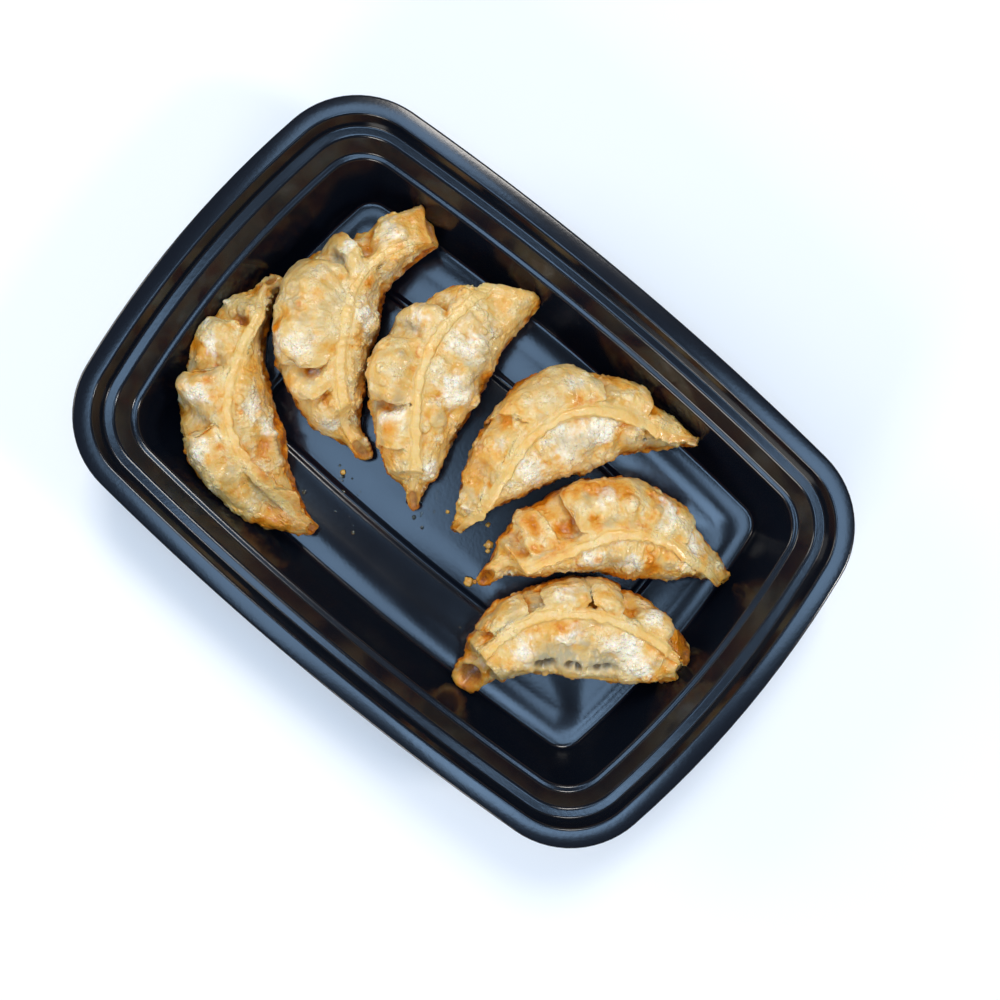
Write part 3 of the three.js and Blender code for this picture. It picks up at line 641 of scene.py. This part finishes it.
def hollowness(points, normals, reach):
    """How far each point lies below the smoothed surface round it, in millimetres."""
    smooth = points
    for axis, steps in ((0, 4 * reach), (1, 3 * reach)):
        smooth = np.mean([np.roll(smooth, k, axis=axis) for k in range(-steps, steps + 1)], axis=0)
    return np.einsum("ijk,ijk->ij", smooth - points, normals)


def spot(facts, t, across):
    """The grid place at a share of the length and of the way from seam to outline."""
    far = 4 * np.abs(facts["t"] - t) + np.abs(facts["across"] - across) + 9 * (facts["part"] == 4)
    return np.unravel_index(np.argmin(far), far.shape)


def distance_from(grid, facts, t, across):
    """How far each point lies from a place on the skin."""
    return np.linalg.norm(grid - grid[spot(facts, t, across)], axis=2)


def window_round(grid, at, reach):
    """The part of the grid round a place, and how far each point there is from it."""
    rows = slice(max(at[0] - int(reach / COLUMN_STEP) - 12, 0), at[0] + int(reach / COLUMN_STEP) + 13)
    cols = slice(max(at[1] - int(reach / POINT_STEP) - 8, 0), at[1] + int(reach / POINT_STEP) + 9)
    return (rows, cols), np.linalg.norm(grid[rows, cols] - grid[at], axis=2)


# The inside wall, a little simpler than the tray's profile: height, and inset from the rim.
WALL_LINE = [
    (FLOOR_Z, 22.6), (FLOOR_Z + 1.3, 20.9), (FLOOR_Z + 5, 20.0), (RIM_Z - 13.2, 15.7),
    (RIM_Z - 12.3, 13.9), (RIM_Z - 6.6, 10.6), (RIM_Z - 5.6, 7.6), (RIM_Z, 6.2),
]


def inside_depth(x, y):
    """How far a place lies inside the rim's outline."""
    short, corner, long = quarter_arcs(RIM)
    px, py = np.abs(x), np.abs(y)
    reach = [arc[1] - np.hypot(px - arc[0][0], py - arc[0][1]) for arc in (short, corner, long)]
    angle = np.arctan2(py - corner[0][1], px - corner[0][0])
    in_corner = (px > corner[0][0]) & (angle > corner[2]) & (angle < corner[3])
    return np.where(in_corner, reach[1], np.minimum(reach[0], reach[2]))


def keep_in_tray(points, gap=0.3):
    """What leans on the wall follows it, and nothing sinks into the floor."""
    x, y, z = points[..., 0], points[..., 1], points[..., 2]
    z = np.maximum(z, FLOOR_Z + gap)
    depth = inside_depth(x, y)
    excess = np.maximum(np.interp(z, *zip(*WALL_LINE)) + gap - depth, 0)
    step = 0.01
    slope_x = (inside_depth(x + step, y) - depth) / step
    slope_y = (inside_depth(x, y + step) - depth) / step
    return np.stack([x + slope_x * excess, y + slope_y * excess, z], axis=-1)


def to_tray(points, gyoza):
    turn = math.radians(gyoza["heading"])
    x, y, z = points[..., 0], points[..., 1], points[..., 2]
    px, py = gyoza["place"]
    return np.stack([px + x * math.cos(turn) - y * math.sin(turn),
                     py + x * math.sin(turn) + y * math.cos(turn), z + SEAT], axis=-1)


SMALL_BLISTERS = 760  # on each dumpling, besides those in its list
BLISTER_RADII = {0.5: 0.58, 0.8: 0.34, 1.3: 0.06, 2.0: 0.02}  # and what share of them has it
LUMP_GAIN = 1.4  # how much stronger the lumps come out than the list's heights
HOLE_DEPTH = 1.0
TALL_FIN = 3.5  # from this height on, a band counts as tall
OUTLINE_WIDTH, GATHERS_WIDTH = 0.17, 0.2  # as shares of the way from seam to outline
MOAT, DIMPLE = 0.15, 0.45  # how deep a blister's moat and dimple are, as shares of its height
LOW_REACH = 11  # how high the browning from the pan reaches
# How much each of these browns the skin; the folds' share is not browning but painted shade where a tuck
# pushes the sheet in.
BROWNING_AND_SHADE = dict(outline=1.0, low=0.1, ends=0.2, crest=0.3, blisters=0.22, mouth=0.1, folds=0.04, stains=0.45)

dough, tree, shader = new_material("fried_dough")

for number, (name, gyoza) in enumerate(GYOZA.items(), start=1):
    draw = np.random.default_rng(number)
    grid, facts = dumpling_grid(gyoza, number)
    grid, facts = with_open_ends(grid, facts, gyoza)
    t_here, across_here, mouth = facts["t"], facts["across"], facts["mouth"]
    on_band = facts["part"] < 2
    side_here = np.sign(across_here)
    normals = surface_normals(grid)
    skin = ~on_band & (mouth == 0)
    fin_here = three_way(gyoza["fin"], t_here)
    tall = smoothstep((fin_here - TALL_FIN) / 4) * on_band
    calm = np.where(on_band, 0.3 + 0.5 * tall, 1.0) * (1 - mouth)
    upper = smoothstep((grid[..., 2] - 1.0) / 4.0)
    outline = bell((np.abs(across_here) - 1.0) / OUTLINE_WIDTH) * skin

    # Big soft swells, with the lumps, hollows and holes of the dumpling's own lists.
    relief = uneven(grid, "swells", number) * calm
    for t0, a0, t1, a1, radius, height in gyoza["lumps"]:
        steps = [(mix(t0, t1, k / 5), mix(a0, a1, k / 5)) for k in range(6)]
        gap = np.min([distance_from(grid, facts, *step) for step in steps], axis=0)
        same = (side_here == np.sign(a0)) & skin
        relief += LUMP_GAIN * height * bell(gap / radius) * same
    hole = np.zeros(grid.shape[:2])
    for t, across, radius in gyoza["holes"]:
        pit = bell(distance_from(grid, facts, t, across) / radius, 6) * skin
        relief -= HOLE_DEPTH * pit
        hole = np.maximum(hole, pit)
    grid = grid + normals * (relief * upper)[..., None]

    # Smaller waves, the short folds where the dough is gathered at the seam, and the
    # ragged outline.
    normals = surface_normals(grid)
    relief = uneven(grid, "waves", number) * calm
    lengthwise = t_here * gyoza["length"] / 3.5
    folded = np.stack([lengthwise, np.abs(across_here) * 1.6, side_here * 5], axis=2)
    by_the_seam = bell((np.abs(across_here) - 0.16) / GATHERS_WIDTH) * skin
    relief += uneven(folded, "gathers", number) * by_the_seam
    relief += (uneven(grid, "crumbly_edge", number) + uneven(grid, "torn_edge", number)) * outline

    # Blisters: each is a dome with a dimple and a moat, and browns along its ring.
    haloes = np.zeros(grid.shape[:2])
    blisters = [(spot(facts, t, across), radius, height) for t, across, radius, height in gyoza["blisters"]]
    froth = uneven(grid, "froth", number)
    open_skin = np.argwhere(skin & (upper > 0.3) & (froth > draw.uniform(-0.3, 0.6, froth.shape)))
    for i, j in open_skin[draw.integers(0, len(open_skin), SMALL_BLISTERS)]:
        radius = draw.choice(list(BLISTER_RADII), p=list(BLISTER_RADII.values())) * draw.uniform(0.8, 1.2)
        blisters.append(((i, j), radius, min(0.45, radius * draw.uniform(0.25, 0.5))))
    for at, radius, height in blisters:
        window, gap = window_round(grid, at, radius * 1.6)
        gap = gap / radius
        same = (side_here[window] == side_here[at]) | on_band[window]
        dome = height * np.sqrt(np.clip(1 - gap**2, 0, 1)) ** 0.9 * (1 - DIMPLE * bell(gap / 0.45))
        moat = -MOAT * height * bell((gap - 1.15) / 0.15)
        relief[window] += (dome + moat) * calm[window] * same
        halo = bell((gap - 0.95) / 0.18) * same * min(0.7, radius / 2)
        haloes[window] = np.maximum(haloes[window], halo)
    grid = grid + normals * (relief * upper)[..., None]
    normals = surface_normals(grid)
    grid = grid + normals * (uneven(grid, "grain", number) * calm * upper)[..., None]
    placed = keep_in_tray(to_tray(grid, gyoza))

    # Browning: in patches, then at the outline, low down, at the ends, on a tall band's crest, round the
    # blisters and in the mouths, with painted shade beside the tucks.
    browned = gyoza["toast"]
    from_end = np.minimum(t_here, 1 - t_here)
    toast = browned * (0.4 + uneven(grid, "patches", number))
    toast += (BROWNING_AND_SHADE["outline"] + 0.9 * browned) * outline * (0.5 + uneven(grid, "crust", number))
    toast += (BROWNING_AND_SHADE["low"] + 1.3 * browned) * (1 - smoothstep((grid[..., 2] - 1) / LOW_REACH))
    toast += BROWNING_AND_SHADE["ends"] * (1 - smoothstep(from_end / 0.07))
    toast += BROWNING_AND_SHADE["crest"] * tall * (facts["part"] == 0) + BROWNING_AND_SHADE["blisters"] * haloes * (0.4 + browned)
    # The last term is painted shade: darker where a tuck pushes the sheet in.
    toast += BROWNING_AND_SHADE["mouth"] * mouth + BROWNING_AND_SHADE["folds"] * np.clip(-facts["push"], 0, 3)
    # Stains: glassy amber where the oil browned the sheet, greyish where it is thin.
    thin = 0.6 * smoothstep(uneven(grid, "thinness", number) - 0.1) * skin
    amber = np.zeros(grid.shape[:2])
    for t, across, radius, strength in gyoza["stains"]:
        mark = abs(strength) * bell(distance_from(grid, facts, t, across) / radius, 2.4) * skin
        if strength > 0:
            toast += BROWNING_AND_SHADE["stains"] * mark
            amber = np.maximum(amber, mark)
        else:
            thin = np.maximum(thin, mark)
    # Pale and frosted with tiny bubbles where it is froth; pale and white in the list's cream patches, which
    # are partly a painted white sheen; and not where it is browned or thin, nor, as painted shade, deep in a
    # fold.
    flecks = uneven(grid, "flecks", number)
    pale = 0.3 + 0.9 * froth - 0.9 * toast - 0.5 * thin
    frost_and_sheen = -0.4 + 0.5 * froth + 0.55 * flecks - 0.6 * toast + 0.3 * upper
    # Cream patches: pale skin, and in part a painted white sheen on facets.
    for t, across, radius in gyoza["creams_and_sheens"]:
        gap = distance_from(grid, facts, t, across) / radius
        same = side_here == np.sign(across)
        pale += 0.6 * bell(gap) * same
        frost_and_sheen += 1.1 * bell(gap, 2.5) * same
    pale = smoothstep(pale) * (1 - mouth) + (0.9 - 1.8 * browned) * mouth
    frost_and_sheen = smoothstep(frost_and_sheen) * (1 - mouth) * (1 - 0.7 * np.minimum(thin, 1))
    normals = surface_normals(grid)
    hollow = hollowness(grid, normals, 1) * skin
    deep = hollowness(grid, normals, 3) * skin * smoothstep(from_end / 0.06)
    # Painted shade: browner and less pale in hollows and deeper folds; paler and less brown on ridges, a
    # painted highlight.
    toast += 0.35 * np.clip(hollow, -0.1, 0.35) + 0.2 * np.clip(deep - 0.1, 0, 1)
    pale = pale * (1 - 0.5 * smoothstep(hollow / 0.25)) + 0.5 * np.clip(-hollow, 0, 0.4) * (toast < 0.5)
    toast = np.clip(toast * (1 - 0.85 * np.minimum(thin, 1)), 0, 0.85)
    thin = thin * (0.9 + 0.7 * flecks)
    band = on_band * (1 - mouth) * (0.8 + uneven(grid, "band_tone", number)) * smoothstep(fin_here / 1.8)
    unstained = 1 - 0.85 * np.clip(1.5 * amber, 0, 1)
    pale *= unstained
    frost_and_sheen *= unstained * (1 - 0.6 * np.clip(band, 0, 1))

    mesh = bpy.data.meshes.new(name + "_skin")
    mesh.from_pydata((placed.reshape(-1, 3) * MM).tolist(), [], grid_faces(*grid.shape[:2]))
    tones = dict(toast=toast, band=band, pale=pale, frost_and_sheen=frost_and_sheen, thin=thin, amber=amber, hole=hole)
    for key, values in tones.items():
        layer = mesh.attributes.new(key, "FLOAT", "POINT")
        layer.data.foreach_set("value", np.clip(values, 0, 1.5).ravel().astype(np.float32))
    body = bpy.data.objects.new(name + "_skin", mesh)
    bpy.context.scene.collection.objects.link(body)
    bpy.context.view_layer.objects.active = body
    body.select_set(True)
    bpy.ops.object.shade_smooth()
    bpy.ops.object.mode_set(mode="EDIT")
    bpy.ops.mesh.select_all(action="SELECT")
    bpy.ops.mesh.normals_make_consistent(inside=False)
    bpy.ops.object.mode_set(mode="OBJECT")
    body.select_set(False)
    mesh.materials.append(dough)
    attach(body, "root")
    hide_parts(name)

# The dough's finish: golden to brown with the browning, which also carries painted shade in the folds and
# hollows, then the other tones over it, the frost in part a painted white sheen, a film of oil and a skin of
# tiny bubbles where it is pale.
# Each tone: how much of it shows at most, and its colour.
TONES = {
    "pale": (0.65, (0.84, 0.68, 0.38)),
    # The frost tone: frosted skin with tiny bubbles, and in part a painted white sheen.
    "frost_and_sheen": (0.8, (0.94, 0.88, 0.74)),
    "thin": (0.8, (0.46, 0.38, 0.23)),
    "band": (0.5, (0.82, 0.58, 0.22)),
    "amber": (0.7, (0.68, 0.21, 0.002)),
    "hole": (0.9, (0.11, 0.07, 0.035)),
}
coords = add_node("TexCoord")
reads = {key: add_node("Attribute", attribute_name=key) for key in ("toast", *TONES)}
mottle = add_node("TexNoise", {"Scale": 520, "Detail": 7, "Roughness": 0.62})
link(coords, "Object", mottle, "Vector")
speckle = add_node("Math", {1: 1.0, 2: -0.5}, operation="MULTIPLY_ADD")
link(mottle, "Fac", speckle, 0)
grain = add_node("MapRange", {"From Min": 0.38, "From Max": 0.62, "To Min": 0.5, "To Max": 1.1})
link(mottle, "Fac", grain, "Value")
level = add_node("Math", operation="ADD")
link(reads["toast"], "Fac", level, 0)
link(speckle, "Value", level, 1)
ramp = add_node("ValToRGB")
stops = [(0.0, (0.74, 0.50, 0.18)), (0.3, (0.76, 0.41, 0.08)), (0.6, (0.68, 0.24, 0.012)),
         (0.85, (0.50, 0.14, 0.008)), (1.0, (0.24, 0.06, 0.01))]
while len(ramp.color_ramp.elements) < len(stops):
    ramp.color_ramp.elements.new(0.5)
for element, (place, colour) in zip(ramp.color_ramp.elements, stops):
    element.position = place
    element.color = (*colour, 1)
link(level, "Value", ramp, "Fac")
under = ramp, "Color"
for key, (share, colour) in TONES.items():
    amount = add_node("Math", {1: share}, operation="MULTIPLY")
    link(reads[key], "Fac", amount, 0)
    if key == "frost_and_sheen":
        broken = add_node("Math", operation="MULTIPLY")
        link(amount, "Value", broken, 0)
        link(grain, "Result", broken, 1)
        amount = broken
    layer = add_node("Mix", {"B": (*colour, 1)}, data_type="RGBA")
    link(amount, "Value", layer, "Factor")
    link(*under, layer, "A")
    under = layer, "Result"
link(*under, shader, "Base Color")
shine = add_node("MapRange", {"To Min": 0.24, "To Max": 0.42})
link(mottle, "Fac", shine, "Value")
link(shine, "Result", shader, "Roughness")
set_sockets(shader, {
    "Subsurface Weight": 0.45, "Subsurface Radius": (1.0, 0.6, 0.2), "Subsurface Scale": 0.0016,
    "IOR": 1.45, "Specular IOR Level": 0.4, "Coat Weight": 0.2, "Coat Roughness": 0.12,
})
bubbly = add_node("MapRange", {"To Min": 0.25})
link(reads["pale"], "Fac", bubbly, "Value")
under = None
for scale, height in ((520, 0.00036), (1150, 0.00026)):
    bubbles = add_node("TexVoronoi", {"Scale": scale})
    link(coords, "Object", bubbles, "Vector")
    dome = add_node("MapRange", {"From Min": 0.55, "From Max": 0.05}, interpolation_type="SMOOTHSTEP")
    link(bubbles, "Distance", dome, "Value")
    bump = add_node("Bump", {"Distance": height})
    link(dome, "Result", bump, "Height")
    link(bubbly, "Result", bump, "Strength")
    if under:
        link(*under, bump, "Normal")
    under = bump, "Normal"
link(*under, shader, "Normal")


# ---- Crumbs and oil: what the frying left on the tray's floor ----------------------
# Flakes of crust that broke off the dumplings' edges, and beads of frying oil
# that dripped and lie on the plastic.

CRUMB_ROUGH, CRUMB_FLAT, BEAD_FLAT = 0.45, 0.6, 0.5  # as shares of their size
# Each crumb: place on the tray, and size.
CRUMBS = [
    (16.2, -8.6, 0.8), (20.8, -13.6, 1.4), (22.0, -15.4, 0.8), (23.6, -27.6, 1.6), (25.2, -26.4, 0.8),
    (-33.0, -26.5, 0.9), (3.0, -14.0, 0.7), (44.0, -38.5, 1.0),
]
# Each patch of oil beads: middle, spread, and how many.
BEADS = [
    (-33.0, 30.5, 5.0, 26), (-5.0, -19.0, 4.0, 14), (19.0, 38.0, 5.0, 12), (47.0, -36.0, 8.0, 16),
    (-24.0, -33.0, 7.0, 18),
]
BEAD_RADII = {0.25: 0.5, 0.4: 0.35, 0.7: 0.15}  # and what share of them has it
RINGS_LONGER = 37.2  # how much further a ring of the floor reaches along the tray than across


def floor_height(x, y):
    """The floor's height at a place, between the rings round it."""
    along = abs(x) - RINGS_LONGER + y * y / (2 * FLOOR_BOW["bow_x"])
    across = abs(y) + x * x / (2 * FLOOR_BOW["bow_y"])
    _, reaches, _, heights = zip(*FLOOR_RINGS[::-1])
    return np.interp(max(along, across), reaches, heights)


draw = np.random.default_rng(60)
flakes, beads = [], []
for x, y, size in CRUMBS:
    bpy.ops.mesh.primitive_ico_sphere_add(subdivisions=3, radius=size * MM)
    flake = bpy.context.object
    offset = Vector((x, y, 0))
    for vertex in flake.data.vertices:
        out = vertex.co.normalized()
        vertex.co *= 1 + CRUMB_ROUGH * noise.noise(out * 1.7 + offset)
        vertex.co.z *= CRUMB_FLAT
    low = min(vertex.co.z for vertex in flake.data.vertices)
    flake.location = (x * MM, y * MM, (floor_height(x, y) + 0.02) * MM - low)
    flake.rotation_euler.z = draw.uniform(0, math.tau)
    flakes.append(flake)
for x, y, spread, count in BEADS:
    for px, py in draw.normal((x, y), spread, (count, 2)):
        size = draw.choice(list(BEAD_RADII), p=list(BEAD_RADII.values())) * draw.uniform(0.8, 1.2)
        bpy.ops.mesh.primitive_uv_sphere_add(segments=14, ring_count=8, radius=size * MM)
        bead = bpy.context.object
        bead.scale.z = BEAD_FLAT
        bead.location = (px * MM, py * MM, (floor_height(px, py) + 0.35 * size) * MM)
        beads.append(bead)
oil, tree, shader = new_material("frying_oil")
set_sockets(shader, {
    "Base Color": (0.95, 0.85, 0.55, 1), "Roughness": 0.03, "IOR": 1.46, "Transmission Weight": 1,
})
for name, pieces, material, slot in (("crumbs", flakes, dough, "fried_wrapper"),
                                     ("oil_beads", beads, oil, "tray_plastic")):
    bpy.ops.object.select_all(action="DESELECT")
    for piece in pieces:
        piece.select_set(True)
    bpy.context.view_layer.objects.active = pieces[0]
    bpy.ops.object.join()
    bpy.ops.object.transform_apply(location=True, rotation=True, scale=True)
    bpy.ops.object.shade_smooth()
    joined = bpy.context.object
    joined.name = name
    joined.data.name = name
    joined.data.materials.append(material)
    joined.select_set(False)
    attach(joined, "root")
toast = flakes[0].data.attributes.new("toast", "FLOAT", "POINT")
toast.data.foreach_set("value", np.full(len(toast.data), 0.35, dtype=np.float32))


# ---- Stage: table, lights and camera ---------------------------------------------
# A plain pale table under a broad soft light, seen from straight above with the
# tray lying slantwise.

bpy.ops.mesh.primitive_plane_add(size=6, location=(0, 0, 0))
table = bpy.context.object
table.name = "table"
white, tree, shader = new_material("pale_table")
set_sockets(shader, {"Base Color": (0.9, 0.9, 0.9, 1), "Roughness": 0.7})
table.data.materials.append(white)
table.location.z = -0.0002

world = bpy.data.worlds.new("studio")
bpy.context.scene.world = world
world.use_nodes = True
set_sockets(world.node_tree.nodes["Background"], {"Color": (0.9, 0.95, 1.0, 1), "Strength": 0.12})

PANE_BLUE = (0.4, 0.65, 1.0)
# Each light: place, size, power and colour. The panes show in the tray's floor.
LIGHTS = {
    "key": ((-0.45, 0.8, 1.35), 0.45, 11.2, (1.0, 0.96, 0.9)),
    "left": ((-1.15, -0.35, 0.6), 0.6, 6, (1.0, 0.95, 0.88)),
    "front": ((0.2, -1.25, 0.65), 0.4, 8, (1.0, 0.95, 0.88)),
    "spark": ((0.95, 0.35, 0.8), 0.2, 5, (1.0, 0.97, 0.93)),
    "pane_1": ((-0.2, -0.25, 1.5), 0.5, 4.8, PANE_BLUE),
    "pane_2": ((0.28, -0.29, 1.5), 0.3, 2.7, PANE_BLUE),
    "pane_3": ((0.42, 0.3, 1.5), 0.4, 3.3, PANE_BLUE),
    "pane_4": ((-0.5, 0.35, 1.5), 0.3, 1.8, PANE_BLUE),
}
for name, (at, size, power, colour) in LIGHTS.items():
    bpy.ops.object.light_add(type="AREA", location=at)
    lamp = bpy.context.object
    lamp.name = name
    lamp.data.size = size
    lamp.data.energy = power
    lamp.data.color = colour
    lamp.rotation_euler = (-Vector(at)).to_track_quat("-Z", "Y").to_euler()

CAMERA_AT = (0.01505, -0.002, 0.342)
CAMERA_TURN = (0.437, -0.135, 39.885)  # degrees about x, y and z
bpy.ops.object.camera_add(location=CAMERA_AT)
camera = bpy.context.object
camera.rotation_euler = [math.radians(angle) for angle in CAMERA_TURN]
camera.data.lens = 36
camera.data.sensor_width = 36
camera.data.clip_start = 0.01
bpy.context.scene.camera = camera
bpy.context.scene.view_settings.view_transform = "Standard"
